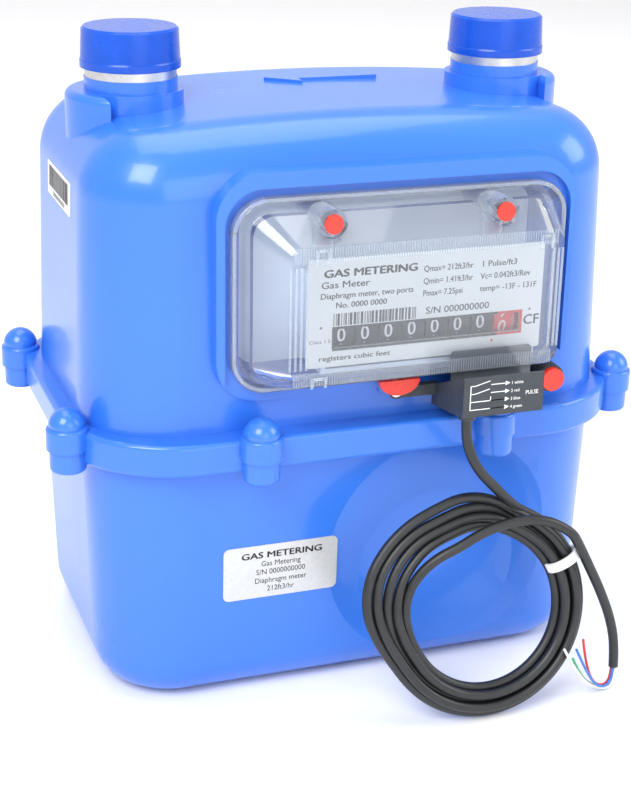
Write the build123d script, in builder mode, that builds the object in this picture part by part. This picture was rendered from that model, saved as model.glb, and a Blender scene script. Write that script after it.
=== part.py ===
from build123d import *
import os
from math import atan2, cos, degrees, pi, radians, sin, tan

# Diaphragm gas meter with a clip-on pulse sensor. Millimetres.
# Origin: middle of the flat underside. X runs from the outlet port to the
# inlet port, the index faces -Y, and Z is up.

os.makedirs("parts", exist_ok=True)

# ---------------------------------------------------------------- case sizes
port_pitch = 130.0          # centre distance of the two ports
split_z = 92.0              # joint face between the two shells
crown_z = 196.0             # highest line of the upper shell
crown_radius = 800.0        # sideways curve of the top
wall = 3.0                  # cast wall
draft = 1.8                 # casting draft in degrees
upper_half_x = 92.5
upper_half_y = 58.0
upper_corner = 29.0
top_edge = 21.0             # rounding of the upper shell's top edge
lower_half_x = 91.5
lower_half_y = 59.5
lower_corner = 29.0
bottom_edge = 14.0          # rounding of the lower shell's bottom edge

flange_half_x = 98.0
flange_half_y = 66.4
flange_corner = 39.0
flange_upper = 6.0          # thickness of the upper flange
flange_lower = 5.0
gasket_section = 2.6        # width of the gasket cord
gasket_depth = 1.5
gasket_inset = 2.6          # from the lower shell's outer wall line

boss_radius = 6.9           # screw boss on the upper flange
boss_height = 7.6
low_boss_radius = 6.0
low_boss_height = 7.6
front_screw_x = 40.8        # front and back screws
front_screw_y = 67.5
side_screw_x = 98.0         # screws on the two short sides
side_screw_y = 41.5
screw_shank = 2.5
screw_clearance = 0.2
screw_head = 5.9
screw_dome = 6.0

dish_x = 27.0               # round dish in the lower shell's front
dish_z = 38.0
dish_outer = 40.0
dish_inner = 29.0
dish_depth = 1.7

# ---------------------------------------------------------------- port sizes
thread_radius = 15.0        # M30 x 2 union thread
thread_pitch = 2.0
thread_depth = 1.1
thread_length = 13.5
thread_lead = 2.6           # plain neck under the first groove
thread_bevel = 1.0
port_bore = 11.0
neck_top = 203.0
neck_radius = 15.3
collar_top = 199.0
collar_radius = 17.2
ear_radius = 21.6           # boss round the outer half of each port
ear_start = 76.0            # where that boss begins, from the middle
ear_foot = 24.0             # how far it runs down under the crown
collar_foot = 14.0
way_foot = 30.0             # how far the gas way is cut down from the crown
spud_shank = 13.0
spud_shank_length = 7.0
way_clearance = 1.0         # casting round the spud's bore
cap_radius = 16.5
cap_taper = 0.7             # the cap is narrower at its top
cap_rim_z = 206.0
cap_head = 1.9              # thickness of the cap's flat top
cap_rim = 2.2               # height of its rolled rim
cap_bevel = 0.8
cap_gap = 0.08              # cap over the thread crests
cap_head_gap = 0.5

label_thickness = 0.2
label_gap = 0.02
label_x = -30.8
label_z = 46.6
strip_y = -2.0
strip_z = 167.5
label_size = (40.0, 19.6)
strip_size = (36.0, 11.2)

arrow_height = 4.9          # of which 0.9 stands over the crown's line
arrow_sink = 4.0
arrow_tip = (-14.0, 17.0)
arrow_barb = (-3.0, 9.0)    # x of the barbs, and how far they reach aside
arrow_tail = (26.0, 4.0)    # x of the tail, and half its width

# --------------------------------------------------------------- index sizes
pad_front = 61.5            # front of the raised frame round the index, as -Y
shelf = 58.6                # seat of the window's rim, as -Y
pocket_floor = 44.0         # floor of the index pocket, as -Y
pad = (-54.0, 68.0, 108.0, 183.0)          # x0, x1, z0, z1 of the raised frame
pad_corner = 15.0
over = 5.0                  # how far a cutting tool runs past open air
seat = (-51.2, 66.2, 100.0, 178.0)         # seat for the window, open downwards
seat_corner = 12.0
pocket = (-46.0, 61.5, 113.5, 173.0)
pocket_corner = 9.0
rim = (-49.2, 64.6, 111.8, 175.2)          # clear window's rim
rim_corner = 11.5
rim_thickness = 3.2
hip_base = (-44.0, 61.0, 114.0, 171.0)     # foot of the window's raised part
hip_face = (-34.6, 58.6, 116.4, 162.0)     # its flat front
hip_corner = 5.0
window_front = 73.2         # front of the window, as -Y
window_wall = 1.7
plug_points = ((-20.0, 168.6), (37.6, 168.6))
plug_radius = 3.1
clear_boss = 4.6
boss_front = 72.4
plug_seat = 66.0            # floor of each seal's hole, as -Y
plug_foot = 68.4
plug_proud = 0.6
window_screw_tip = 53.0
window_screw_head = 2.7

dial = (-26.9, 53.7, 121.3, 156.6)
dial_front = 69.5
dial_thickness = 1.0
lug_z = 142.0               # lugs between the dial and its frame
aperture = (-17.9, 46.3, 127.3, 133.7)

drum_count = 8
drum_pitch = 8.0
drum_width = 7.6
drum_radius = 8.8
drum_axis_y = -58.0
drum_axis_z = 130.5
drum_middle_x = 14.2
index_shaft = 1.5
running_gap = 0.06
pinion_radius = 3.0
pinion_gap = 0.35
pinion_up = 0.87            # share of the pinion's offset that is upwards
base_front = 46.0           # front of the index's base plate, as -Y
base_inset = 3.0
base_post = 3.4
frame_front = 67.6          # front of the drum frame, as -Y
frame_foot = 118.4
frame_height = 28.6
frame_floor = 1.6
frame_notch = (26.0, 12.0)  # opening for the crown gear
pinion_shaft_radius = 1.0
pinion_teeth = 8
pinion_width = 4.0
drum_wall = 1.6
drum_hub = 3.2
cheek_left = (-21.6, -20.0)
cheek_right = (51.2, 52.8)

# --------------------------------------------------------------- drive sizes
crank_x = 26.45             # crank axis, in the middle plane
crank_throw = 3.0
crank_level = 99.0
worm_pitch_radius = 3.45
worm_turns = 7
wheel_teeth = 32
wheel_pitch_radius = 8.0
crown_teeth = 20
crown_pitch_radius = 10.0
drum_gear_teeth = 19
drum_gear_radius = 9.5
crown_face = 47.8           # root of the crown gear's teeth, as -Y
tooth_width = 1.05
drive_shaft = 1.5
gland_seat = 4.0            # hole for the bush in the pocket's floor
crank_shaft = 2.0
crank_disc = 5.2
worm_bearing = 1.5
worm_rib = 0.75             # height of the worm's thread
wheel_tooth = 0.5
wheel_width = 2.0
crown_web = 1.5
crown_height = 1.0
bracket_levels = (113.0, 144.0)
bracket_leaf = 2.5
bearing_start = 2.2         # back of the drive shaft's bearing, as +Y

# ------------------------------------------------------- measuring unit sizes
plate_z = 84.0              # underside of the measuring unit's top plate
plate_thickness = 4.0
unit_half_x = 80.0
unit_half_y = 47.0
mid_wall = 4.0
mid_foot = 5.0
mid_length = 150.0
disc_x = 24.0
disc_z = 44.0
chamber_ring = 38.0         # bore of each diaphragm's clamping ring
ring_thickness = 5.0
diaphragm_y = 22.0
membrane = 1.0
disc_radius = 27.0
disc_plate = 19.0
disc_depth = 1.6
lug_height = 7.0            # hinge lugs above and below the disc's middle
lug_depth = 4.6
rod_foot = 19.0
rod_top = 107.0
flag_arm_y = 16.6           # where the flag's arm meets the disc
flag_arm = 1.6
top_arm_level = 100.0
top_arm_depth = 2.0
link_pin = 1.0
link_depth = 1.4
link_width = 3.0
link_levels = (1.6, 3.8)    # front and rear link, above the top arms
valve_levels = (95.0, 97.0) # front and rear valve arm
valve_sole = (24.0, 20.0)
valve_hollow = (16.0, 12.0)
valve_lift = 0.03           # oil film under a valve
valve_eye = 8.4
valve_eye_bore = 5.8
valve_arm = 4.0
port_window = (9.0, 6.0)    # each gas port in the valve table
table_height = 3.0
table_size = (26.0, 74.0)
tube_wall = 1.5
pan_depth = 28.0
pan_floor = 2.0
pan_taper = 8.0
flag_x = -19.0
flag_y = 8.0
flag_rod = 2.0
top_arm = 16.0
valve_x = -38.0
valve_y = 22.0

# -------------------------------------------------------------- sensor sizes
sensor = (19.6, 47.6, 106.0, 119.6)
sensor_front = 87.0
sensor_back = 62.2
sensor_back_top = 108.8     # the housing slopes down to its back
sensor_back_foot = 102.0
sensor_notch_x = 33.5       # right of this the foot stays over the case screw
tongue = (22.5, 50.5, 108.4, 122.4)
tongue_slot = 7.4           # slot for it in the window's lower wall
tongue_slot_z = 115.7
tongue_back = 69.8
tongue_front = 71.2
tongue_holes = ((30.5, 118.8), (43.5, 118.8))
sensor_points = ((6.0, 108.6), (59.0, 109.6))
ear_front = (65.0, 70.0)    # front of the left and the right ear, as -Y
sensor_ear_radii = (2.6, 4.7)
ear_bar_z = 108.2
ear_bar_height = 3.8
spacer_radius = 2.4
screw_hole = 1.6
small_head = 2.0
small_screw = 1.5
small_screw_tip = 52.5      # as -Y
small_head_depth = 1.6
case_boss = 4.2             # bosses in the casing for the sensor's screws
case_boss_back = 50.0
half_plug = (7.0, 5.2)      # half axes of the left seal
half_plug_foot = 113.3
round_plug = 3.9
gland_depth = 4.0
tongue_play = 0.4
gland_radius = 2.8
cable_radius = 1.7
coil_x = 31.0
coil_mean = 32.0
coil_radial = 5.5           # half the bundle's width
coil_axial = 4.0            # half its depth
coil_lean = 13.0            # degrees back from upright
coil_foot_y = -97.0
tie_angle = 25.0            # place of the tie round the coil, from the right
tie_width = 3.2
tie_thickness = 0.9
tie_end = Vector(78.6, -86.0, 60.2)
wire_radius = 0.45

# The cable from its gland to the coil, and from the tie to its bare end.
lead_route = [
    (22.8, -83.4, 104.4),
    (22.8, -83.4, 98.2),
    (24.4, -84.6, 91.6),
    (28.2, -84.6, 85.2),
    (33.6, -83.4, 79.6),
    (38.8, -82.8, 74.0),
    (43.9, -82.2, 69.2),
]
tail_route = [
    (61.4, -84.4, 55.6),
    (67.0, -86.4, 48.4),
    (73.2, -88.4, 38.4),
    (77.8, -90.0, 27.4),
    (79.9, -91.2, 17.2),
    (79.8, -91.9, 8.8),
]
wire_routes = [
    [
        (80.3, -91.3, 8.8),
        (80.2, -91.5, 1.2),
        (73.5, -91.5, 1.6),
        (66.0, -94.3, 8.1),
        (60.9, -96.9, 17.6),
    ],
    [
        (79.3, -91.4, 8.8),
        (79.2, -91.7, 2.0),
        (72.3, -93.5, 3.2),
        (67.2, -94.9, 12.8),
        (64.2, -97.0, 24.4),
    ],
    [
        (79.3, -92.4, 8.8),
        (79.2, -92.7, 2.4),
        (72.6, -95.2, 3.3),
        (66.9, -96.6, 10.9),
        (61.4, -97.9, 21.6),
    ],
    [
        (80.3, -92.4, 8.8),
        (80.2, -92.7, 1.3),
        (73.6, -93.4, 1.7),
        (64.5, -96.0, 9.0),
        (56.6, -98.2, 22.6),
    ],
]


def save(piece, name):
    """Label one finished piece and write it."""
    piece.label = name
    export_step(piece, f"parts/{name}.step")


def front_plane(depth):
    """A plane facing the front, depth in front of the port line."""
    return Plane.XZ.offset(depth)


def facing(side, depth):
    """A plane facing the front (side -1) or the back (side 1), upright."""
    return Plane((0, side * depth, 0), x_dir=(-side, 0, 0), z_dir=(0, side, 0))


def middle(box):
    """Centre of an (x0, x1, z0, z1) outline."""
    return ((box[0] + box[1]) / 2, (box[2] + box[3]) / 2)


def span(box):
    """Width and height of an (x0, x1, z0, z1) outline."""
    return (box[1] - box[0], box[3] - box[2])


def inset(box, amount):
    """The same outline drawn in by amount on every side."""
    return (box[0] + amount, box[1] - amount, box[2] + amount, box[3] - amount)


def front_block(box, corner, back, front):
    """A rounded block from depth back to depth front, facing the front."""
    with BuildPart() as block:
        with BuildSketch(front_plane(back)):
            with Locations(middle(box)):
                RectangleRounded(*span(box), corner)
        extrude(amount=front - back)
    return block.part


def upper_body(grow):
    """The upper shell's outer form, drawn in by grow for its cavity."""
    half_x = upper_half_x - grow
    half_y = upper_half_y - grow
    top = crown_z - grow
    with BuildPart() as body:
        with BuildSketch(Plane.XY.offset(split_z)):
            RectangleRounded(2 * half_x, 2 * half_y, upper_corner - grow)
        extrude(amount=top - split_z + 10, taper=draft)
        with BuildSketch(Plane.XZ):
            with Locations((0, top - crown_radius)):
                Circle(crown_radius)
        extrude(amount=upper_half_y * 2, both=True, mode=Mode.INTERSECT)
        crown = body.faces().sort_by(Axis.Z)[-1]
        fillet(crown.edges(), radius=top_edge - grow)
    return body.part


def lower_body(grow):
    """The lower shell's outer form, drawn in by grow for its cavity."""
    with BuildPart() as body:
        with BuildSketch(Plane.XY.offset(split_z)):
            RectangleRounded(
                2 * (lower_half_x - grow),
                2 * (lower_half_y - grow),
                lower_corner - grow,
            )
        extrude(amount=-(split_z - grow), taper=draft)
        base = body.faces().sort_by(Axis.Z)[0]
        fillet(base.edges(), radius=bottom_edge - grow)
    return body.part


def flange_plate(height):
    """The flange's outline, height up or down from the joint face."""
    with BuildPart() as plate:
        with BuildSketch(Plane.XY.offset(split_z)):
            RectangleRounded(2 * flange_half_x, 2 * flange_half_y, flange_corner)
        extrude(amount=height)
        edge = plate.faces().sort_by(Axis.Z)[-1 if height > 0 else 0]
        fillet(edge.outer_wire().edges(), radius=1.6)
    return plate.part


def posts(points, radius, z0, z1):
    """Round posts on the given centres."""
    with BuildPart() as group:
        with BuildSketch(Plane.XY.offset(z0)):
            with Locations(*points):
                Circle(radius)
        extrude(amount=z1 - z0)
    return group.part


def boss_posts(radius, height):
    """Screw bosses, rounded where they end."""
    with BuildPart() as group:
        with BuildSketch(Plane.XY.offset(split_z)):
            with Locations(*screw_points):
                Circle(radius)
        extrude(amount=height)
        ends = group.faces().filter_by(Axis.Z)
        far = ends.group_by(Axis.Z)[-1 if height > 0 else 0]
        fillet(far.edges(), radius=1.2)
    return group.part


def port_ears():
    """The boss round the outer half of each port, rounded on top."""
    foot = crown_z - ear_foot
    with BuildPart() as ears:
        with BuildSketch(Plane.XY.offset(foot)):
            with Locations(*port_points):
                Circle(ear_radius)
            Rectangle(2 * ear_start, 3 * ear_radius, mode=Mode.SUBTRACT)
        extrude(amount=collar_top - foot)
        tops = ears.faces().filter_by(Axis.Z).group_by(Axis.Z)[-1]
        fillet(tops.edges(), radius=2.4)
    return ears.part


screw_points = []
for side in (-1, 1):
    screw_points.append((-front_screw_x, side * front_screw_y))
    screw_points.append((front_screw_x, side * front_screw_y))
    screw_points.append((-side_screw_x, side * side_screw_y))
    screw_points.append((side_screw_x, side * side_screw_y))

port_points = [(-port_pitch / 2, 0), (port_pitch / 2, 0)]
index_drive_x = crank_x + worm_pitch_radius + wheel_pitch_radius

# ------------------------------------------------------------- upper casing
with BuildPart() as upper_case:
    add(upper_body(0))
    add(upper_body(wall), mode=Mode.SUBTRACT)
    add(flange_plate(flange_upper))
    add(boss_posts(boss_radius, boss_height))
    # clear the cavity through the flange
    with BuildSketch(Plane.XY.offset(split_z)):
        RectangleRounded(
            2 * (upper_half_x - wall),
            2 * (upper_half_y - wall),
            upper_corner - wall,
        )
    extrude(amount=flange_upper + 2, taper=draft, mode=Mode.SUBTRACT)
    # port collars, the outer ears and the necks
    add(posts(port_points, collar_radius, crown_z - collar_foot, collar_top))
    add(port_ears())
    add(posts(port_points, neck_radius, collar_top, neck_top))
    # index frame, its seat and its pocket
    add(front_block(pad, pad_corner, pocket_floor - wall, pad_front))
    add(front_block(seat, seat_corner, shelf, pad_front + over), mode=Mode.SUBTRACT)
    add(front_block(pocket, pocket_corner, pocket_floor, pad_front + over), mode=Mode.SUBTRACT)
    # gas ways, spud seats, drive gland and screw holes
    add(
        posts(port_points, port_bore + way_clearance, crown_z - way_foot, neck_top),
        mode=Mode.SUBTRACT,
    )
    add(
        posts(port_points, spud_shank, neck_top - spud_shank_length, neck_top),
        mode=Mode.SUBTRACT,
    )
    with Locations(front_plane(pocket_floor).location * Location((index_drive_x, drum_axis_z, 0))):
        Hole(radius=gland_seat, depth=wall + 2)
    add(
        posts(screw_points, screw_shank + screw_clearance, split_z, split_z + boss_height),
        mode=Mode.SUBTRACT,
    )
    with BuildSketch(front_plane(case_boss_back)):
        with Locations(*sensor_points):
            Circle(case_boss)
    extrude(amount=shelf - case_boss_back)
    with BuildSketch(front_plane(small_screw_tip - 1)):
        with Locations(*sensor_points):
            Circle(small_screw)
    extrude(amount=2 * over, mode=Mode.SUBTRACT)
    # flow arrow, cast proud on the crown
    with BuildSketch(Plane.XY.offset(crown_z - arrow_sink)):
        with BuildLine():
            Polyline(
                arrow_tip,
                (arrow_barb[0], arrow_tip[1] + arrow_barb[1]),
                (arrow_barb[0], arrow_tip[1] + arrow_tail[1]),
                (arrow_tail[0], arrow_tip[1] + arrow_tail[1]),
                (arrow_tail[0], arrow_tip[1] - arrow_tail[1]),
                (arrow_barb[0], arrow_tip[1] - arrow_tail[1]),
                (arrow_barb[0], arrow_tip[1] - arrow_barb[1]),
                arrow_tip,
            )
        make_face()
    extrude(amount=arrow_height)
save(upper_case.part, "upper_case")

# ------------------------------------------------------------- lower casing
with BuildPart() as lower_case:
    add(lower_body(0))
    add(flange_plate(-flange_lower))
    add(boss_posts(low_boss_radius, -low_boss_height))
    add(lower_body(wall), mode=Mode.SUBTRACT)
    dish_face = lower_half_y - (split_z - dish_z) * tan(radians(draft))
    with BuildSketch(front_plane(dish_face - dish_depth)):
        with Locations((dish_x, dish_z)):
            Circle(dish_inner)
    with BuildSketch(front_plane(dish_face + dish_depth)):
        with Locations((dish_x, dish_z)):
            Circle(2 * dish_outer - dish_inner)
    loft(mode=Mode.SUBTRACT)
    with BuildSketch(Plane.XY.offset(split_z)):
        RectangleRounded(
            2 * (lower_half_x - gasket_inset),
            2 * (lower_half_y - gasket_inset),
            lower_corner - gasket_inset,
        )
        RectangleRounded(
            2 * (lower_half_x - gasket_inset - gasket_section),
            2 * (lower_half_y - gasket_inset - gasket_section),
            lower_corner - gasket_inset - gasket_section,
            mode=Mode.SUBTRACT,
        )
    extrude(amount=-gasket_depth, mode=Mode.SUBTRACT)
    add(
        posts(screw_points, screw_shank, split_z - low_boss_height + 1.5, split_z),
        mode=Mode.SUBTRACT,
    )
save(lower_case.part, "lower_case")

with BuildPart() as case_gasket:
    with BuildSketch(Plane.XY.offset(split_z - gasket_depth)):
        RectangleRounded(
            2 * (lower_half_x - gasket_inset),
            2 * (lower_half_y - gasket_inset),
            lower_corner - gasket_inset,
        )
        RectangleRounded(
            2 * (lower_half_x - gasket_inset - gasket_section),
            2 * (lower_half_y - gasket_inset - gasket_section),
            lower_corner - gasket_inset - gasket_section,
            mode=Mode.SUBTRACT,
        )
    extrude(amount=gasket_depth)
save(case_gasket.part, "case_gasket")

# domed case screws
screw_seat = split_z + boss_height
screw_tip = split_z - low_boss_height + 2.5
head_side = 1.4
head_rise = screw_dome - head_side
dome_radius = (screw_head**2 + head_rise**2) / (2 * head_rise)
with BuildPart() as flange_screws:
    for x, y in screw_points:
        with BuildSketch(Plane((x, y, 0), x_dir=(1, 0, 0), z_dir=(0, -1, 0))):
            with BuildLine():
                Polyline(
                    (0, screw_seat + screw_dome),
                    (0, screw_tip),
                    (screw_shank, screw_tip),
                    (screw_shank, screw_seat),
                    (screw_head, screw_seat),
                    (screw_head, screw_seat + head_side),
                )
                RadiusArc(
                    (screw_head, screw_seat + head_side),
                    (0, screw_seat + screw_dome),
                    -dome_radius,
                )
            make_face()
        revolve(axis=Axis((x, y, 0), (0, 0, 1)))
save(flange_screws.part, "flange_screws")


# ------------------------------------------------------------ ports and caps
def spud(x):
    """Threaded port piece: pressed shank below, thread rings above."""
    foot = neck_top - spud_shank_length
    top = neck_top + thread_length
    with BuildPart() as piece:
        with BuildSketch(Plane.XZ):
            with BuildLine():
                Polyline(
                    (x + port_bore, foot),
                    (x + spud_shank, foot),
                    (x + spud_shank, neck_top),
                    (x + thread_radius, neck_top),
                    (x + thread_radius, top - thread_bevel),
                    (x + thread_radius - thread_bevel, top),
                    (x + port_bore, top),
                    (x + port_bore, foot),
                )
            make_face()
        revolve(axis=Axis((x, 0, 0), (0, 0, 1)))
        grooves = int((thread_length - thread_lead) / thread_pitch)
        for turn in range(grooves):
            level = neck_top + thread_lead + turn * thread_pitch
            with BuildSketch(Plane.XZ):
                with BuildLine():
                    Polyline(
                        (x + thread_radius + 0.1, level),
                        (x + thread_radius - thread_depth, level + thread_pitch * 0.45),
                        (x + thread_radius + 0.1, level + thread_pitch * 0.9),
                        (x + thread_radius + 0.1, level),
                    )
                make_face()
            revolve(axis=Axis((x, 0, 0), (0, 0, 1)), mode=Mode.SUBTRACT)
    return piece.part


def dust_cap(x):
    """Push-on cap: a tapered skirt, a small rolled rim and a flat top."""
    inner = thread_radius + cap_gap
    under = neck_top + thread_length + cap_head_gap
    top = under + cap_head
    with BuildPart() as piece:
        with BuildSketch(Plane.XZ):
            with BuildLine():
                Polyline(
                    (x + inner, cap_rim_z),
                    (x + cap_radius, cap_rim_z),
                    (x + cap_radius, cap_rim_z + cap_rim),
                    (x + cap_radius - 0.25, cap_rim_z + cap_rim + 0.5),
                    (x + cap_radius - cap_taper, top - cap_bevel),
                    (x + cap_radius - cap_taper - cap_bevel, top),
                    (x, top),
                    (x, under),
                    (x + inner, under),
                    (x + inner, cap_rim_z),
                )
            make_face()
        revolve(axis=Axis((x, 0, 0), (0, 0, 1)))
    return piece.part


save(spud(port_points[0][0]), "outlet_spud")
save(spud(port_points[1][0]), "inlet_spud")
save(dust_cap(port_points[0][0]), "outlet_cap")
save(dust_cap(port_points[1][0]), "inlet_cap")

# stickers: rating label on the lower front, serial strip on the left side
tilt = radians(draft)
label_depth = lower_half_y - (split_z - label_z) * tan(tilt) + label_gap
strip_depth = upper_half_x - (strip_z - split_z) * tan(tilt) + label_gap
with BuildPart() as labels:
    label_plane = Plane(
        (label_x, -label_depth, label_z), x_dir=(1, 0, 0), z_dir=(0, -cos(tilt), -sin(tilt))
    )
    with BuildSketch(label_plane):
        RectangleRounded(*label_size, 2.0)
    extrude(amount=label_thickness)
    strip_plane = Plane(
        (-strip_depth, strip_y, strip_z), x_dir=(0, -1, 0), z_dir=(-cos(tilt), 0, sin(tilt))
    )
    with BuildSketch(strip_plane):
        RectangleRounded(*strip_size, 0.8)
    extrude(amount=label_thickness)
save(labels.part, "labels")

# ------------------------------------------------------------ measuring unit
unit_top = plate_z + plate_thickness
bush_radius = flag_rod + 1.5
ring_outer = chamber_ring + 1.5
with BuildPart() as measuring_body:
    with BuildSketch(Plane.XY.offset(plate_z)):
        RectangleRounded(2 * unit_half_x, 2 * unit_half_y, 14)
        with Locations((flag_x, flag_y), (flag_x, -flag_y)):
            Circle(bush_radius, mode=Mode.SUBTRACT)
        with Locations((valve_x, 0), (valve_x, valve_y), (valve_x, -valve_y)):
            Rectangle(*port_window, mode=Mode.SUBTRACT)
    extrude(amount=plate_thickness)
    with BuildSketch(Plane.XY.offset(mid_foot)):
        Rectangle(mid_length, mid_wall)
    extrude(amount=plate_z - mid_foot)
    # clamping rings for the two diaphragms, open where the flag arms pass
    for side in (-1, 1):
        with BuildSketch(facing(side, mid_wall / 2)):
            with Locations((-side * disc_x, disc_z)):
                Circle(ring_outer)
                Circle(chamber_ring - ring_thickness / 2, mode=Mode.SUBTRACT)
            with Locations((-side * (disc_x - chamber_ring), disc_z)):
                Rectangle(20, 30, mode=Mode.SUBTRACT)
        extrude(amount=diaphragm_y - mid_wall / 2)
    # crank bearing boss
    with Locations((crank_x, 0, unit_top + 2)):
        Cylinder(radius=5, height=4)
    with Locations((crank_x, 0, unit_top)):
        Cylinder(radius=crank_shaft + running_gap, height=16, mode=Mode.SUBTRACT)
save(measuring_body.part, "measuring_body")


def chamber_cover(side):
    """A pan clamped over one diaphragm."""
    depth = diaphragm_y + membrane
    with BuildPart() as pan:
        with BuildSketch(facing(side, depth)):
            with Locations((-side * disc_x, disc_z)):
                Circle(ring_outer)
        extrude(amount=3.0)
        with BuildSketch(facing(side, depth)):
            with Locations((-side * disc_x, disc_z)):
                Circle(chamber_ring - 1)
        extrude(amount=pan_depth, taper=pan_taper)
        with BuildSketch(facing(side, depth)):
            with Locations((-side * disc_x, disc_z)):
                Circle(chamber_ring - 3)
        extrude(amount=pan_depth - pan_floor, taper=pan_taper, mode=Mode.SUBTRACT)
    return pan.part


def diaphragm(side):
    """Moulded sheet with one roll between its ring and its disc."""
    with BuildPart() as sheet:
        with BuildSketch(facing(side, diaphragm_y)):
            with Locations((-side * disc_x, disc_z)):
                Circle(ring_outer)
                Circle(disc_radius - 6, mode=Mode.SUBTRACT)
        extrude(amount=membrane)
    return sheet.part


def disc(side):
    """Stiffening disc on the diaphragm's inner face, with its hinge lug."""
    with BuildPart() as plate:
        with BuildSketch(facing(side, diaphragm_y - 0.3)):
            with Locations((-side * disc_x, disc_z)):
                Circle(disc_plate)
        extrude(amount=-disc_depth)
        with BuildSketch(facing(side, diaphragm_y - 0.3 - disc_depth)):
            with Locations(
                (-side * disc_x, disc_z - lug_height), (-side * disc_x, disc_z + lug_height)
            ):
                Rectangle(6, 2)
        extrude(amount=-lug_depth)
    return plate.part


def rod_with_arm(side):
    """Upright flag rod with its welded arm to the disc's hinge."""
    y = side * flag_y
    end_y = side * flag_arm_y
    half = flag_arm / 2
    with BuildPart() as rod:
        with Locations((flag_x, y, (rod_foot + rod_top) / 2)):
            Cylinder(radius=flag_rod, height=rod_top - rod_foot)
        with BuildSketch(Plane.XY.offset(disc_z - 5)):
            with BuildLine():
                Polyline(
                    (flag_x, y - half),
                    (disc_x - 4, end_y - half),
                    (disc_x, end_y - half),
                    (disc_x, end_y + half),
                    (disc_x - 4, end_y + half),
                    (flag_x, y + half),
                    (flag_x, y - half),
                )
            make_face()
        extrude(amount=10)
    return rod.part


def arm_on_rod(side):
    """Arm clamped on top of a flag rod, reaching away from the middle."""
    y = side * flag_y
    with BuildPart() as arm:
        with BuildSketch(Plane.XY.offset(top_arm_level)):
            with Locations((flag_x, y)):
                Circle(4.0)
            with Locations((flag_x, side * (flag_y + top_arm / 2))):
                Rectangle(4, top_arm)
            with Locations((flag_x, side * (flag_y + top_arm))):
                Circle(2.8)
            with Locations((flag_x, y)):
                Circle(flag_rod, mode=Mode.SUBTRACT)
        extrude(amount=top_arm_depth)
        pin_height = link_levels[side > 0] + top_arm_depth
        with Locations((flag_x, side * (flag_y + top_arm), top_arm_level + pin_height / 2)):
            Cylinder(radius=link_pin, height=pin_height)
    return arm.part


def crank_link(side):
    """Bar from a top arm's pin to over the crank's pin."""
    start = (flag_x, side * (flag_y + top_arm))
    end = (crank_x - crank_throw, 0)
    run = Vector(end[0] - start[0], end[1] - start[1], 0)
    turn = degrees(atan2(run.Y, run.X))
    centre = ((start[0] + end[0]) / 2, (start[1] + end[1]) / 2)
    with BuildPart() as link:
        level = top_arm_level + top_arm_depth + link_levels[side > 0] - 0.8
        with BuildSketch(Plane.XY.offset(level)):
            with Locations(Location((centre[0], centre[1], 0), (0, 0, turn))):
                Rectangle(run.length, link_width)
            with Locations(start, end):
                Circle(2.6)
            with Locations(start):
                Circle(link_pin + running_gap, mode=Mode.SUBTRACT)
            with Locations(end):
                Circle(1.4, mode=Mode.SUBTRACT)
        extrude(amount=link_depth)
    return link.part


def slide_valve(side):
    """D valve with its drive arm and the arm's eye round the crank shaft."""
    level = valve_levels[side > 0]
    sole = unit_top + table_height + valve_lift
    eye = (crank_x, 0)
    start = (valve_x + 6, side * valve_y)
    run = Vector(eye[0] - start[0], eye[1] - start[1], 0)
    turn = degrees(atan2(run.Y, run.X))
    centre = ((start[0] + eye[0]) / 2, (start[1] + eye[1]) / 2)
    with BuildPart() as valve:
        with BuildSketch(Plane.XY.offset(sole)):
            with Locations((valve_x, side * valve_y)):
                RectangleRounded(*valve_sole, 3)
        extrude(amount=level + link_depth - sole)
        with BuildSketch(Plane.XY.offset(sole)):
            with Locations((valve_x, side * valve_y)):
                RectangleRounded(*valve_hollow, 2)
        extrude(amount=2.0, mode=Mode.SUBTRACT)
        with BuildSketch(Plane.XY.offset(level)):
            with Locations(Location((centre[0], centre[1], 0), (0, 0, turn))):
                Rectangle(run.length, valve_arm)
            with Locations(eye):
                Circle(valve_eye)
            with Locations(eye):
                Circle(valve_eye_bore, mode=Mode.SUBTRACT)
        extrude(amount=link_depth)
    return valve.part


with BuildPart() as valve_table:
    with BuildSketch(Plane.XY.offset(unit_top)):
        with Locations((valve_x, 0)):
            RectangleRounded(*table_size, 4)
        with Locations((valve_x, 0), (valve_x, valve_y), (valve_x, -valve_y)):
            Rectangle(*port_window, mode=Mode.SUBTRACT)
    extrude(amount=table_height)

with BuildPart() as rod_bushes:
    with BuildSketch(Plane.XY.offset(plate_z)):
        with Locations((flag_x, flag_y), (flag_x, -flag_y)):
            Circle(bush_radius)
            Circle(flag_rod + running_gap, mode=Mode.SUBTRACT)
    extrude(amount=plate_thickness)
    with BuildSketch(Plane.XY.offset(unit_top)):
        with Locations((flag_x, flag_y), (flag_x, -flag_y)):
            Circle(bush_radius + 1.5)
            Circle(flag_rod + running_gap, mode=Mode.SUBTRACT)
    extrude(amount=2.5)

# outlet pipe from the valve table up to the outlet port
pipe_x = port_points[0][0]
with BuildPart() as outlet_tube:
    with BuildSketch(Plane.XY.offset(unit_top)):
        with Locations((pipe_x, 0)):
            Circle(port_bore)
            Circle(port_bore - tube_wall, mode=Mode.SUBTRACT)
    extrude(amount=crown_z - collar_foot - unit_top)

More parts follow.
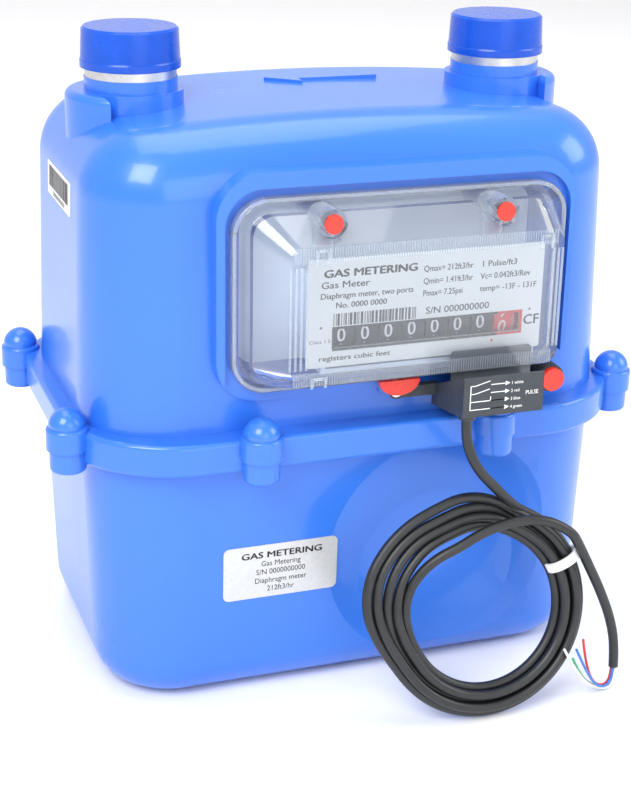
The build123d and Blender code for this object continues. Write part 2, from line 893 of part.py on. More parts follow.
save(chamber_cover(-1), "front_chamber_cover")
save(chamber_cover(1), "rear_chamber_cover")
save(diaphragm(-1), "front_diaphragm")
save(diaphragm(1), "rear_diaphragm")
save(disc(-1), "front_disc")
save(disc(1), "rear_disc")
save(rod_with_arm(-1), "front_flag_rod")
save(rod_with_arm(1), "rear_flag_rod")
save(arm_on_rod(-1), "front_top_arm")
save(arm_on_rod(1), "rear_top_arm")
save(crank_link(-1), "front_link")
save(crank_link(1), "rear_link")
save(slide_valve(-1), "front_slide_valve")
save(slide_valve(1), "rear_slide_valve")
save(valve_table.part, "valve_table")
save(rod_bushes.part, "rod_bushes")
save(outlet_tube.part, "outlet_tube")

# ------------------------------------------------------------- drive train
pin_x = crank_x - crank_throw
with BuildPart() as crank:
    with Locations((crank_x, 0, (unit_top - 2 + crank_level) / 2)):
        Cylinder(radius=crank_shaft, height=crank_level - unit_top + 2)
    with Locations((crank_x, 0, crank_level + 0.9)):
        Cylinder(radius=crank_disc, height=1.8)
    with Locations((pin_x, 0, crank_level + 2.2)):
        Cylinder(radius=1.0, height=1.2)
save(crank.part, "crank")


def tooth_ring(count, root, tip, width):
    """Outline of a toothed wheel: a root circle with straight teeth."""
    with BuildSketch() as outline:
        Circle(root)
        depth = tip - root + 0.3
        with PolarLocations(tip - depth / 2, count):
            Rectangle(depth, width)
    return outline.sketch


worm_z0 = drum_axis_z - worm_turns * 2 * pi * wheel_pitch_radius / wheel_teeth / 2
worm_pitch = 2 * pi * wheel_pitch_radius / wheel_teeth
worm_root = worm_pitch_radius - 0.45
with BuildPart() as worm_shaft:
    with Locations((crank_x, 0, 129.0)):
        Cylinder(radius=worm_bearing, height=40.0)
    with Locations((crank_x, 0, drum_axis_z)):
        Cylinder(radius=worm_root, height=worm_turns * worm_pitch + 2)
    with Locations((crank_x, 0, 109.8)):
        Cylinder(radius=crank_disc, height=1.6)
    with BuildLine(Plane((crank_x, 0, worm_z0))):
        Helix(pitch=worm_pitch, height=worm_turns * worm_pitch, radius=worm_root)
    rib_start = Plane(
        (crank_x + worm_root, 0, worm_z0), x_dir=(1, 0, 0), z_dir=(0, 1, 0)
    )
    with BuildSketch(rib_start):
        with BuildLine():
            Polyline(
                (-0.3, -0.3), (worm_rib, -0.16), (worm_rib, 0.16), (-0.3, 0.3), (-0.3, -0.3)
            )
        make_face()
    sweep(is_frenet=True)
save(worm_shaft.part, "worm_shaft")

# bracket on the upper casing's inner wall, carrying the worm's bearings
with BuildPart() as drive_bracket:
    for level in bracket_levels:
        with BuildSketch(Plane.XY.offset(level)):
            with Locations((crank_x - 3, 16)):
                Rectangle(18, 40)
            with Locations((crank_x, 0)):
                Circle(worm_bearing + running_gap, mode=Mode.SUBTRACT)
        extrude(amount=bracket_leaf)
    with BuildSketch(Plane.XY.offset(bracket_levels[0])):
        with Locations((crank_x + 2, 36)):
            Rectangle(28, 3)
    extrude(amount=bracket_levels[1] - bracket_levels[0] + bracket_leaf)
    back_face = upper_half_y - wall - (bracket_levels[1] + 3 - split_z) * tan(tilt)
    with BuildSketch(Plane.XY.offset(126.0)):
        with Locations((crank_x - 3, (37 + back_face) / 2)):
            Rectangle(12, back_face - 37)
    extrude(amount=8)
    with BuildSketch(Plane.XZ.offset(-bearing_start)):
        with Locations((index_drive_x, drum_axis_z)):
            Rectangle(8, 8)
    extrude(amount=-33)
    with BuildSketch(Plane.XZ.offset(-bearing_start)):
        with Locations((index_drive_x, drum_axis_z)):
            Circle(drive_shaft + running_gap)
    extrude(amount=-4, mode=Mode.SUBTRACT)
save(drive_bracket.part, "drive_bracket")

# shaft from the worm wheel through the gland to the index
with BuildPart() as index_drive_shaft:
    with Locations(
        Location((index_drive_x, -(crown_face - 5) / 2, drum_axis_z), (90, 0, 0))
    ):
        Cylinder(radius=drive_shaft, height=crown_face + 5)
save(index_drive_shaft.part, "index_drive_shaft")

worm_wheel_ring = tooth_ring(
    wheel_teeth, wheel_pitch_radius - 0.55, wheel_pitch_radius + 0.3, wheel_tooth
)
with BuildPart() as worm_wheel:
    with BuildSketch(Plane((index_drive_x, 1.0, drum_axis_z), x_dir=(1, 0, 0), z_dir=(0, -1, 0))):
        add(worm_wheel_ring)
        Circle(drive_shaft, mode=Mode.SUBTRACT)
    extrude(amount=wheel_width)
save(worm_wheel.part, "worm_wheel")

with BuildPart() as crown_gear:
    crown_plane = Plane((index_drive_x, -crown_face, drum_axis_z), x_dir=(1, 0, 0), z_dir=(0, -1, 0))
    with BuildSketch(crown_plane):
        Circle(crown_pitch_radius + 1.2)
        Circle(drive_shaft, mode=Mode.SUBTRACT)
    extrude(amount=-crown_web)
    with BuildSketch(crown_plane):
        with PolarLocations(crown_pitch_radius, crown_teeth, start_angle=180 / crown_teeth):
            Rectangle(2.2, tooth_width)
    extrude(amount=crown_height)
save(crown_gear.part, "crown_gear")

with BuildPart() as gland_bush:
    bush_plane = Plane(
        (index_drive_x, -pocket_floor - 1.2, drum_axis_z), x_dir=(1, 0, 0), z_dir=(0, 1, 0)
    )
    with BuildSketch(bush_plane):
        Circle(gland_seat - 0.02)
        Circle(drive_shaft + running_gap, mode=Mode.SUBTRACT)
    extrude(amount=6.0)
save(gland_bush.part, "gland_bush")

# -------------------------------------------------------------------- index
with BuildPart() as index_base:
    with BuildSketch(front_plane(pocket_floor)):
        with Locations(middle(pocket)):
            RectangleRounded(*span(inset(pocket, base_inset)), pocket_corner - base_inset)
        with Locations((index_drive_x, drum_axis_z)):
            Circle(4.6, mode=Mode.SUBTRACT)
    extrude(amount=base_front - pocket_floor)
    with BuildSketch(front_plane(base_front)):
        with Locations(*plug_points):
            Circle(base_post)
    extrude(amount=shelf - 0.2 - base_front)
    with BuildSketch(front_plane(window_screw_tip - 1)):
        with Locations(*plug_points):
            Circle(small_screw)
    extrude(amount=4 * over, mode=Mode.SUBTRACT)
save(index_base.part, "index_base")

pinion_offset = drum_radius + pinion_radius + pinion_gap
pinion_z = drum_axis_z + pinion_offset * pinion_up
pinion_y = drum_axis_y - pinion_offset * (1 - pinion_up**2) ** 0.5


def cheek(x0, x1):
    """Side plate of the drum frame."""
    with BuildPart() as plate:
        with BuildSketch(Plane.YZ.offset(x0)):
            with Locations(((-base_front - frame_front) / 2, frame_foot + frame_height / 2)):
                Rectangle(frame_front - base_front, frame_height)
            with Locations((drum_axis_y, drum_axis_z)):
                Circle(index_shaft, mode=Mode.SUBTRACT)
            with Locations((pinion_y, pinion_z)):
                Circle(pinion_shaft_radius, mode=Mode.SUBTRACT)
        extrude(amount=x1 - x0)
    return plate.part


with BuildPart() as index_frame:
    add(cheek(*cheek_left))
    add(cheek(*cheek_right))
    with BuildSketch(Plane.XY.offset(frame_foot)):
        with Locations(((cheek_left[0] + cheek_right[1]) / 2, (-base_front - frame_front) / 2)):
            Rectangle(cheek_right[1] - cheek_left[0], frame_front - base_front)
        with Locations((index_drive_x, -base_front - 4)):
            Rectangle(*frame_notch, mode=Mode.SUBTRACT)
    extrude(amount=frame_floor)
save(index_frame.part, "index_frame")

with BuildPart() as drum_shaft:
    with BuildSketch(Plane.YZ.offset(cheek_left[0])):
        with Locations((drum_axis_y, drum_axis_z)):
            Circle(index_shaft)
    extrude(amount=cheek_right[1] - cheek_left[0])
save(drum_shaft.part, "drum_shaft")

with BuildPart() as pinion_shaft:
    with BuildSketch(Plane.YZ.offset(cheek_left[0])):
        with Locations((pinion_y, pinion_z)):
            Circle(pinion_shaft_radius)
    extrude(amount=cheek_right[1] - cheek_left[0])
save(pinion_shaft.part, "pinion_shaft")


def drum_x(number):
    """Left face of a number drum, counted from 1 at the left."""
    first = drum_middle_x - drum_count * drum_pitch / 2
    return first + (number - 1) * drum_pitch + (drum_pitch - drum_width) / 2


with BuildPart() as transfer_pinions:
    for number in range(1, drum_count):
        with BuildSketch(Plane.YZ.offset(drum_x(number) + drum_width - 2.4)):
            with Locations((pinion_y, pinion_z)):
                add(tooth_ring(pinion_teeth, pinion_radius - 1.1, pinion_radius - 0.3, 0.9))
                Circle(pinion_shaft_radius, mode=Mode.SUBTRACT)
        extrude(amount=pinion_width)
save(transfer_pinions.part, "transfer_pinions")


def number_drum(number):
    """Drum with a web, a hub and, on the last one, its drive gear."""
    left = drum_x(number)
    with BuildPart() as drum:
        with BuildSketch(Plane.YZ.offset(left)):
            with Locations((drum_axis_y, drum_axis_z)):
                Circle(drum_radius)
        extrude(amount=drum_width)
        fillet(drum.edges().filter_by(GeomType.CIRCLE), radius=0.25)
        with BuildSketch(Plane.YZ.offset(left + drum_wall)):
            with Locations((drum_axis_y, drum_axis_z)):
                Circle(drum_radius - drum_wall)
                Circle(drum_hub, mode=Mode.SUBTRACT)
        extrude(amount=drum_width - drum_wall, mode=Mode.SUBTRACT)
        if number == drum_count:
            with BuildSketch(Plane.YZ.offset(index_drive_x + crown_pitch_radius - 1.0)):
                with Locations((drum_axis_y, drum_axis_z)):
                    add(
                        tooth_ring(
                            drum_gear_teeth,
                            drum_gear_radius - 0.9,
                            drum_gear_radius + 0.4,
                            tooth_width,
                        )
                    )
            extrude(amount=2.0)
            with BuildSketch(Plane.YZ.offset(left)):
                with Locations((drum_axis_y, drum_axis_z)):
                    Circle(drum_hub)
            extrude(amount=index_drive_x + crown_pitch_radius - left)
        with BuildSketch(Plane.YZ.offset(left - 1)):
            with Locations((drum_axis_y, drum_axis_z)):
                Circle(index_shaft + running_gap)
        extrude(amount=drum_width + 12, mode=Mode.SUBTRACT)
    return drum.part


for number in range(1, drum_count + 1):
    save(number_drum(number), f"drum_{number}")

with BuildPart() as dial_plate:
    with BuildSketch(front_plane(dial_front - dial_thickness)):
        with Locations(middle(dial)):
            RectangleRounded(*span(dial), 0.8)
        with Locations(middle(aperture)):
            Rectangle(*span(aperture), mode=Mode.SUBTRACT)
    extrude(amount=dial_thickness)
    # lugs back to the side plates
    cheek_depth = cheek_left[1] - cheek_left[0]
    with BuildSketch(front_plane(frame_front)):
        with Locations(
            (cheek_left[0] + cheek_depth / 2, lug_z), (cheek_right[0] + cheek_depth / 2, lug_z)
        ):
            Rectangle(cheek_depth, 8)
    extrude(amount=dial_front - dial_thickness - frame_front)
save(dial_plate.part, "dial_plate")

# ------------------------------------------------------------- clear window
rim_back = shelf
rim_front = shelf + rim_thickness
with BuildPart() as index_window:
    with BuildSketch(front_plane(rim_back)):
        with Locations(middle(rim)):
            RectangleRounded(*span(rim), rim_corner)
    extrude(amount=rim_thickness)
    with BuildSketch(front_plane(rim_front)):
        with Locations(middle(hip_base)):
            RectangleRounded(*span(hip_base), hip_corner + 3)
    with BuildSketch(front_plane(window_front)):
        with Locations(middle(hip_face)):
            RectangleRounded(*span(hip_face), hip_corner)
    loft()
    with BuildSketch(front_plane(rim_back)):
        with Locations(middle(hip_base)):
            RectangleRounded(*span(inset(hip_base, window_wall)), hip_corner + 1.5)
    extrude(amount=rim_thickness, mode=Mode.SUBTRACT)
    with BuildSketch(front_plane(rim_front)):
        with Locations(middle(hip_base)):
            RectangleRounded(*span(inset(hip_base, window_wall)), hip_corner + 1.5)
    with BuildSketch(front_plane(window_front - window_wall)):
        with Locations(middle(hip_face)):
            RectangleRounded(*span(inset(hip_face, window_wall)), hip_corner - 1.5)
    loft(mode=Mode.SUBTRACT)
    with BuildSketch(front_plane(rim_back)):
        with Locations(*plug_points):
            Circle(clear_boss)
    extrude(amount=boss_front - rim_back)
    with BuildSketch(front_plane(plug_seat)):
        with Locations(*plug_points):
            Circle(plug_radius)
    extrude(amount=2 * over, mode=Mode.SUBTRACT)
    with BuildSketch(front_plane(rim_back - 1)):
        with Locations(*plug_points):
            Circle(small_screw + screw_clearance)
    extrude(amount=9, mode=Mode.SUBTRACT)
    # slot in the lower wall for the sensor's tongue
    with BuildSketch(front_plane(tongue_back - tongue_play)):
        with Locations(((tongue[0] + tongue[1]) / 2, tongue_slot_z)):
            Rectangle(tongue[1] - tongue[0] + 2 * tongue_play, tongue_slot)
    extrude(amount=tongue_front - tongue_back + 0.55, mode=Mode.SUBTRACT)
save(index_window.part, "index_window")

# screws under the two upper seals
with BuildPart() as window_screws:
    with BuildSketch(front_plane(window_screw_tip)):
        with Locations(*plug_points):
            Circle(small_screw)
    extrude(amount=plug_seat - window_screw_tip)
    with BuildSketch(front_plane(plug_seat)):
        with Locations(*plug_points):
            Circle(window_screw_head)
    extrude(amount=1.8)
save(window_screws.part, "window_screws")

# ------------------------------------------------------------- pulse sensor
with BuildPart() as sensor_housing:
    for x0, x1, foot in (
        (sensor[0], sensor_notch_x, sensor_back_foot),
        (sensor_notch_x, sensor[1], sensor[2]),
    ):
        with BuildSketch(Plane.YZ.offset(x0)):
            with BuildLine():
                Polyline(
                    (-sensor_front, sensor[2]),
                    (-sensor_back, foot),
                    (-sensor_back, sensor_back_top),
                    (-sensor_front, sensor[3]),
                    (-sensor_front, sensor[2]),
                )
            make_face()
        extrude(amount=x1 - x0)
    front = sensor_housing.faces().sort_by(Axis.Y)[0]
    fillet(front.edges().sort_by(Axis.Z)[-1], radius=0.6)
    # ears with their spacers down to the casing
    for point, front_depth, ear, edge in zip(
        sensor_points, ear_front, sensor_ear_radii, (sensor[0] + 1, sensor[1] - 1)
    ):
        with BuildSketch(front_plane(sensor_back)):
            with Locations(point):
                Circle(ear)
            with Locations(((point[0] + edge) / 2, ear_bar_z)):
                Rectangle(abs(edge - point[0]), ear_bar_height)
        extrude(amount=front_depth - sensor_back)
        with BuildSketch(front_plane(shelf)):
            with Locations(point):
                Circle(spacer_radius)
        extrude(amount=sensor_back - shelf)
        with BuildSketch(front_plane(shelf)):
            with Locations(point):
                Circle(screw_hole)
        extrude(amount=front_depth - shelf, mode=Mode.SUBTRACT)
        with BuildSketch(front_plane(front_depth)):
            with Locations(point):
                Circle(small_head + screw_clearance)
        extrude(amount=-small_head_depth, mode=Mode.SUBTRACT)
    # seat for the cable gland
    with BuildSketch(Plane.XY.offset(sensor[2])):
        with Locations((lead_route[0][0], lead_route[0][1])):
            Circle(gland_radius)
    extrude(amount=-gland_depth, mode=Mode.SUBTRACT)
    # slot for the tongue
    with BuildSketch(front_plane(tongue_back)):
        with Locations(middle(tongue)):
            Rectangle(*span(tongue))
    extrude(amount=tongue_front - tongue_back, mode=Mode.SUBTRACT)
save(sensor_housing.part, "sensor_housing")

with BuildPart() as sensor_bracket:
    with BuildSketch(front_plane(tongue_back)):
        with Locations(middle(tongue)):
            RectangleRounded(*span(tongue), 0.8)
        with Locations(*tongue_holes):
            Circle(0.7, mode=Mode.SUBTRACT)
    extrude(amount=tongue_front - tongue_back)
save(sensor_bracket.part, "sensor_bracket")

with BuildPart() as sensor_screws:
    for point, front_depth in zip(sensor_points, ear_front):
        head_seat = front_depth - small_head_depth
        with BuildSketch(front_plane(small_screw_tip)):
            with Locations(point):
                Circle(small_screw)
        extrude(amount=head_seat - small_screw_tip)
        with BuildSketch(front_plane(head_seat)):
            with Locations(point):
                Circle(small_head)
        extrude(amount=small_head_depth - 0.1)
save(sensor_screws.part, "sensor_screws")

with BuildPart() as seal_plugs:
    with BuildSketch(front_plane(plug_foot)):
        with Locations(*plug_points):
            Circle(plug_radius - 0.02)
    extrude(amount=boss_front + plug_proud - plug_foot)
    with BuildSketch(front_plane(ear_front[1])):
        with Locations(sensor_points[1]):
            Circle(round_plug)
    extrude(amount=2.0)
    with BuildSketch(front_plane(ear_front[0])):
        with Locations((sensor_points[0][0], half_plug_foot)):
            Ellipse(*half_plug)
        with Locations((sensor_points[0][0], half_plug_foot + 4)):
            Rectangle(16, 8, mode=Mode.SUBTRACT)
    extrude(amount=2.2)
save(seal_plugs.part, "seal_plugs")

# -------------------------------------------------------------------- cable
with BuildPart() as cable_gland:
    with Locations((lead_route[0][0], lead_route[0][1], (sensor[2] + lead_route[0][2]) / 2)):
        Cylinder(radius=gland_radius, height=sensor[2] - lead_route[0][2])
save(cable_gland.part, "cable_gland")


def bend_radii(route):
    """Radius at each inner point: 0.45 of the shorter run over tan(half turn)."""
    radii = []
    for before, here, after in zip(route, route[1:], route[2:]):
        run_in = Vector(*here) - Vector(*before)
        run_out = Vector(*after) - Vector(*here)
        half = radians(run_in.get_angle(run_out)) / 2
        radii.append(0.45 * min(run_in.length, run_out.length) / tan(half))
    return radii


def tube(route, radius):
    """Round cord along straight runs joined by tangent arcs."""
    radii = bend_radii(route)
    with BuildPart() as cord:
        with BuildLine() as path:
            FilletPolyline(*route, radius=radii)
        heading = Vector(*route[1]) - Vector(*route[0])
        with BuildSketch(Plane(route[0], z_dir=heading)):
            Circle(radius)
        sweep(path=path.wires()[0])
    length = path.wires()[0].length
    print("bend radii", [round(r, 1) for r in radii], "length", round(length, 1))
    print("volume", round(cord.part.volume, 1), "section x length", round(pi * radius**2 * length, 1))
    return cord.part


lean = radians(coil_lean)
coil_rise = coil_mean + coil_radial
coil_centre = Vector(coil_x, coil_foot_y + coil_rise * sin(lean), 0.3 + coil_rise * cos(lean))
coil_up = Vector(0, sin(lean), cos(lean))
coil_axis = Vector(0, -cos(lean), sin(lean))

with BuildPart() as cable_coil:
    section = Plane(coil_centre, x_dir=(1, 0, 0), z_dir=coil_up * -1)
    with BuildSketch(section):
        with Locations((coil_mean, 0)):
            Ellipse(coil_radial, coil_axial)
    revolve(axis=Axis(coil_centre, coil_axis))
save(cable_coil.part, "cable_coil")

save(tube(lead_route, cable_radius), "cable_lead")
save(tube(tail_route, cable_radius), "cable_tail")

# tie round the bundle, with its twisted end
tie_turn = radians(tie_angle)
tie_out = Vector(1, 0, 0) * cos(tie_turn) + coil_up * sin(tie_turn)
tie_middle = coil_centre + tie_out * coil_mean
tie_along = coil_axis.cross(tie_out)
with BuildPart() as cable_tie:
    with BuildSketch(Plane(tie_middle, x_dir=tie_out, z_dir=tie_along)):
        Ellipse(coil_radial + tie_thickness, coil_axial + tie_thickness)
        Ellipse(coil_radial, coil_axial, mode=Mode.SUBTRACT)
    extrude(amount=tie_width / 2, both=True)
    tie_root = coil_centre + tie_out * (coil_mean + coil_radial + 0.4)
    with BuildSketch(Plane(tie_root, z_dir=tie_end - tie_root)):
        Rectangle(2.2, tie_thickness)
    extrude(amount=(tie_end - tie_root).length)
save(cable_tie.part, "cable_tie")

with BuildPart() as conductors:
    for wire_route in wire_routes:
        add(tube(wire_route, wire_radius))
save(conductors.part, "conductors")
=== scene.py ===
import bpy
import math
import random
from mathutils import Matrix, Vector


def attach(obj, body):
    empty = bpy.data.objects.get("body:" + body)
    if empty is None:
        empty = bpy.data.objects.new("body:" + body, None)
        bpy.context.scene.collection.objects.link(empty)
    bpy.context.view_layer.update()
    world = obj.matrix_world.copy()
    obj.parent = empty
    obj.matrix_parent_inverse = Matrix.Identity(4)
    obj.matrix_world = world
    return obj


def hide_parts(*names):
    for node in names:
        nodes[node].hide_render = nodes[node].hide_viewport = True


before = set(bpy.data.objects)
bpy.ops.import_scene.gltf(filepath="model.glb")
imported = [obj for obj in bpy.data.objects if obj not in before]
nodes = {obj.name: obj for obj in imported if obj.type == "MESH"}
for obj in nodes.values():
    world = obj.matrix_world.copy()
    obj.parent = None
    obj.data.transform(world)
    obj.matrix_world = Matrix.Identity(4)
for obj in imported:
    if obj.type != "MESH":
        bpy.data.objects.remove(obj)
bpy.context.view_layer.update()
random.seed(7)

# ------------------------------------------------------------------ camera
yaw = math.radians(19.8)
pitch = math.radians(21.2)
roll = math.radians(1.2)
forward = Vector((math.sin(yaw) * math.cos(pitch), math.cos(yaw) * math.cos(pitch), -math.sin(pitch)))
right = Vector((math.cos(yaw), -math.sin(yaw), 0))
up = right.cross(forward)
cam_x = right * math.cos(roll) + up * math.sin(roll)
cam_y = up * math.cos(roll) - right * math.sin(roll)
cam_data = bpy.data.cameras.new("camera")
cam_data.sensor_fit = "HORIZONTAL"
cam_data.sensor_width = 36.0
cam_data.lens = 36.0 * 1694.8 / 631
cam_data.clip_start = 0.01
cam = bpy.data.objects.new("camera", cam_data)
cam.matrix_world = Matrix.Translation((-0.1934, -0.5408, 0.3046)) @ Matrix((cam_x, cam_y, -forward)).transposed().to_4x4()
bpy.context.collection.objects.link(cam)
bpy.context.scene.camera = cam


# --------------------------------------------------------------- materials
def material(name, color, rough=0.4, metal=0.0, vary=0.06, scale=60.0, bump=0.02, bump_scale=900.0,
             coat=0.0, spec=0.5, rough_vary=0.08, wear=None):
    m = bpy.data.materials.new(name)
    m.use_nodes = True
    t = m.node_tree
    t.nodes.clear()
    out = t.nodes.new("ShaderNodeOutputMaterial")
    b = t.nodes.new("ShaderNodeBsdfPrincipled")
    t.links.new(b.outputs["BSDF"], out.inputs["Surface"])
    co = t.nodes.new("ShaderNodeTexCoord")
    b.inputs["Metallic"].default_value = metal
    b.inputs["Coat Weight"].default_value = coat
    b.inputs["Coat Roughness"].default_value = 0.08
    b.inputs["Specular IOR Level"].default_value = spec
    n = t.nodes.new("ShaderNodeTexNoise")
    n.inputs["Scale"].default_value = scale
    n.inputs["Detail"].default_value = 4.0
    t.links.new(co.outputs["Object"], n.inputs["Vector"])
    ramp = t.nodes.new("ShaderNodeValToRGB")
    ramp.color_ramp.elements[0].position = 0.3
    ramp.color_ramp.elements[1].position = 0.7
    ramp.color_ramp.elements[0].color = [max(0, c * (1 - vary)) for c in color] + [1]
    ramp.color_ramp.elements[1].color = [min(1, c * (1 + vary)) for c in color] + [1]
    t.links.new(n.outputs["Fac"], ramp.inputs["Fac"])
    source = ramp.outputs["Color"]
    if wear:
        g = t.nodes.new("ShaderNodeNewGeometry")
        wr = t.nodes.new("ShaderNodeValToRGB")
        wr.color_ramp.elements[0].position = 0.52
        wr.color_ramp.elements[1].position = 0.62
        t.links.new(g.outputs["Pointiness"], wr.inputs["Fac"])
        mix = t.nodes.new("ShaderNodeMixRGB")
        mix.inputs["Color2"].default_value = list(wear) + [1]
        t.links.new(wr.outputs["Color"], mix.inputs["Fac"])
        t.links.new(source, mix.inputs["Color1"])
        source = mix.outputs["Color"]
    t.links.new(source, b.inputs["Base Color"])
    rr = t.nodes.new("ShaderNodeMapRange")
    rr.inputs["To Min"].default_value = max(0.02, rough - rough_vary)
    rr.inputs["To Max"].default_value = min(1, rough + rough_vary)
    t.links.new(n.outputs["Fac"], rr.inputs["Value"])
    t.links.new(rr.outputs["Result"], b.inputs["Roughness"])
    f = t.nodes.new("ShaderNodeTexNoise")
    f.inputs["Scale"].default_value = bump_scale
    f.inputs["Detail"].default_value = 3.0
    t.links.new(co.outputs["Object"], f.inputs["Vector"])
    bp = t.nodes.new("ShaderNodeBump")
    bp.inputs["Strength"].default_value = bump
    bp.inputs["Distance"].default_value = 0.0004
    t.links.new(f.outputs["Fac"], bp.inputs["Height"])
    t.links.new(bp.outputs["Normal"], b.inputs["Normal"])
    return m


def clear_material(name, tint, facing):
    """Clear plastic: seen through face on, whiter and glossier at a low angle."""
    m = bpy.data.materials.new(name)
    m.use_nodes = True
    t = m.node_tree
    t.nodes.clear()
    out = t.nodes.new("ShaderNodeOutputMaterial")
    clear = t.nodes.new("ShaderNodeBsdfTransparent")
    clear.inputs["Color"].default_value = list(tint) + [1]
    milk = t.nodes.new("ShaderNodeBsdfPrincipled")
    milk.inputs["Base Color"].default_value = (0.80, 0.87, 1.0, 1)
    co = t.nodes.new("ShaderNodeTexCoord")
    n = t.nodes.new("ShaderNodeTexNoise")
    n.inputs["Scale"].default_value = 120
    t.links.new(co.outputs["Object"], n.inputs["Vector"])
    rr = t.nodes.new("ShaderNodeMapRange")
    rr.inputs["To Min"].default_value = 0.03
    rr.inputs["To Max"].default_value = 0.10
    t.links.new(n.outputs["Fac"], rr.inputs["Value"])
    t.links.new(rr.outputs["Result"], milk.inputs["Roughness"])
    lw = t.nodes.new("ShaderNodeLayerWeight")
    lw.inputs["Blend"].default_value = 0.35
    mr = t.nodes.new("ShaderNodeMapRange")
    mr.inputs["To Min"].default_value = facing[0]
    mr.inputs["To Max"].default_value = facing[1]
    t.links.new(lw.outputs["Facing"], mr.inputs["Value"])
    mix = t.nodes.new("ShaderNodeMixShader")
    t.links.new(mr.outputs["Result"], mix.inputs["Fac"])
    t.links.new(clear.outputs["BSDF"], mix.inputs[1])
    t.links.new(milk.outputs["BSDF"], mix.inputs[2])
    gloss = t.nodes.new("ShaderNodeBsdfGlossy")
    gloss.inputs["Roughness"].default_value = 0.03
    gloss.inputs["Color"].default_value = (1, 1, 1, 1)
    fr = t.nodes.new("ShaderNodeFresnel")
    fr.inputs["IOR"].default_value = 1.45
    mix2 = t.nodes.new("ShaderNodeMixShader")
    t.links.new(fr.outputs["Fac"], mix2.inputs["Fac"])
    t.links.new(mix.outputs["Shader"], mix2.inputs[1])
    t.links.new(gloss.outputs["BSDF"], mix2.inputs[2])
    t.links.new(mix2.outputs["Shader"], out.inputs["Surface"])
    return m


paint = material("blue_enamel", (0.029, 0.166, 0.70), rough=0.30, vary=0.03, scale=14, bump=0.05, bump_scale=700, coat=0.35)
cap_blue = material("cap_blue", (0.004, 0.075, 0.50), rough=0.26, vary=0.08, scale=90, bump=0.04, bump_scale=500, coat=0.15, spec=0.35)
steel = material("bare_steel", (0.62, 0.62, 0.63), rough=0.30, metal=1.0, vary=0.10, scale=300, bump=0.10, bump_scale=1500)
dark_rubber = material("gasket_rubber", (0.02, 0.02, 0.02), rough=0.7, bump=0.1)
unit_grey = material("unit_grey", (0.30, 0.31, 0.32), rough=0.5, bump=0.06)
coated = material("coated_fabric", (0.10, 0.085, 0.07), rough=0.75, bump=0.3, bump_scale=2500)
bare_alu = material("bare_aluminium", (0.75, 0.75, 0.77), rough=0.35, metal=1.0, bump=0.05)
acetal = material("acetal", (0.78, 0.76, 0.70), rough=0.38, bump=0.03)
phenolic = material("phenolic", (0.04, 0.04, 0.045), rough=0.45, bump=0.05)
index_white = material("index_white", (0.66, 0.73, 0.86), rough=0.45, vary=0.04, bump=0.03)
drum_black = material("drum_black", (0.012, 0.012, 0.013), rough=0.42, vary=0.2, bump=0.04)
drum_red = material("drum_red", (0.72, 0.03, 0.03), rough=0.38, vary=0.12, bump=0.03)
dial_white = material("dial_white", (0.84, 0.86, 0.88), rough=0.42, vary=0.015, bump=0.02)
ink = material("ink_black", (0.012, 0.012, 0.014), rough=0.5, bump=0.02)
white_ink = material("ink_white", (0.86, 0.86, 0.86), rough=0.5, vary=0.03, bump=0.02)
red_ink = material("ink_red", (0.70, 0.02, 0.02), rough=0.5, bump=0.02)
seal_red = material("seal_red", (0.78, 0.03, 0.015), rough=0.28, vary=0.10, scale=200, bump=0.05, coat=0.2)
sensor_grey = material("sensor_grey", (0.035, 0.042, 0.052), rough=0.5, vary=0.15, scale=250, bump=0.35, bump_scale=2600)
bracket_grey = material("bracket_grey", (0.10, 0.12, 0.14), rough=0.45, vary=0.1, bump=0.1)
cable_black = material("cable_black", (0.010, 0.011, 0.013), rough=0.42, vary=0.25, scale=180, bump=0.12, bump_scale=1800, spec=0.6)
tie_white = material("tie_white", (0.82, 0.83, 0.84), rough=0.4, vary=0.05, bump=0.1)
copper = material("copper", (0.72, 0.32, 0.16), rough=0.3, metal=1.0, bump=0.1, bump_scale=3000)
wire_paint = {
    "red": material("wire_red", (0.62, 0.03, 0.03), rough=0.35),
    "blue": material("wire_blue", (0.03, 0.16, 0.55), rough=0.35),
    "green": material("wire_green", (0.05, 0.42, 0.16), rough=0.35),
    "white": material("wire_white", (0.80, 0.80, 0.78), rough=0.35),
}
window_clear = clear_material("window_clear", (0.965, 0.98, 0.99), (0.02, 0.46))
rib_clear = clear_material("rib_clear", (0.94, 0.97, 0.99), (0.16, 0.55))


def label_material():
    """Silver film for the rating label, white for the strip on the side."""
    m = material("label_film", (0.60, 0.61, 0.62), rough=0.33, metal=0.35, vary=0.05, scale=900, bump=0.05)
    t = m.node_tree
    b = next(n for n in t.nodes if n.type == "BSDF_PRINCIPLED")
    old = b.inputs["Base Color"].links[0].from_socket
    co = t.nodes.new("ShaderNodeTexCoord")
    sep = t.nodes.new("ShaderNodeSeparateXYZ")
    t.links.new(co.outputs["Object"], sep.inputs["Vector"])
    less = t.nodes.new("ShaderNodeMath")
    less.operation = "LESS_THAN"
    less.inputs[1].default_value = -0.08
    t.links.new(sep.outputs["X"], less.inputs[0])
    mix = t.nodes.new("ShaderNodeMixRGB")
    mix.inputs["Color2"].default_value = (0.82, 0.83, 0.84, 1)
    t.links.new(less.outputs["Value"], mix.inputs["Fac"])
    t.links.new(old, mix.inputs["Color1"])
    t.links.new(mix.outputs["Color"], b.inputs["Base Color"])
    return m


